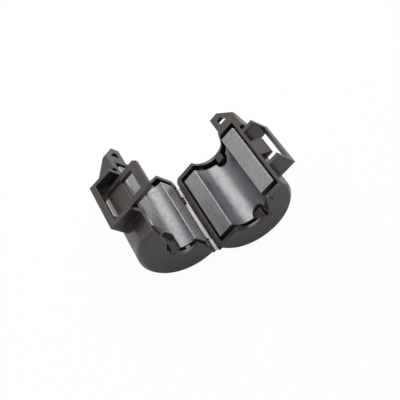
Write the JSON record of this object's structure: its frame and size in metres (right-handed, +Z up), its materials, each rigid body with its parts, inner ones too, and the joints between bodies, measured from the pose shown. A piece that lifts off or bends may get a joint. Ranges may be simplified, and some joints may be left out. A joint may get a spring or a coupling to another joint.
{
  "type": "clip on ferrite bead",
  "caption": "Hinged half-round plastic case lying open, with a ferrite half ring in each shell, that snaps shut around a cable to block high-frequency noise.",
  "frame": {"origin": "centre of the bounding box's footprint, on the surface that the open case lies on", "axes": "+Z up, +Y along the cable towards the tie ears, +X from the half with the latch arm to the half with the catch"},
  "size_m": [0.0664, 0.0418, 0.0342],
  "materials": {
    "case_plastic": "fine matte",
    "ferrite": "ground, satin",
    "hinge_film": "satin"
  },
  "bodies": {
    "left_half": {"left_shell": "case_plastic", "left_ferrite_half": "ferrite", "near_hinge_strap": "hinge_film", "far_hinge_strap": "hinge_film"},
    "right_half": {"right_shell": "case_plastic", "right_ferrite_half": "ferrite"}
  },
  "joints": [
    {"name": "film_hinge", "type": "hinge", "parent": "left_half", "child": "right_half", "pos_m": [0, -0.00335, 0.00439], "axis": [0, -1, 0], "range_deg": [-90, 90], "stiffness_Nm_per_rad": 0.05, "deforming": ["near_hinge_strap", "far_hinge_strap"]}
  ]
}
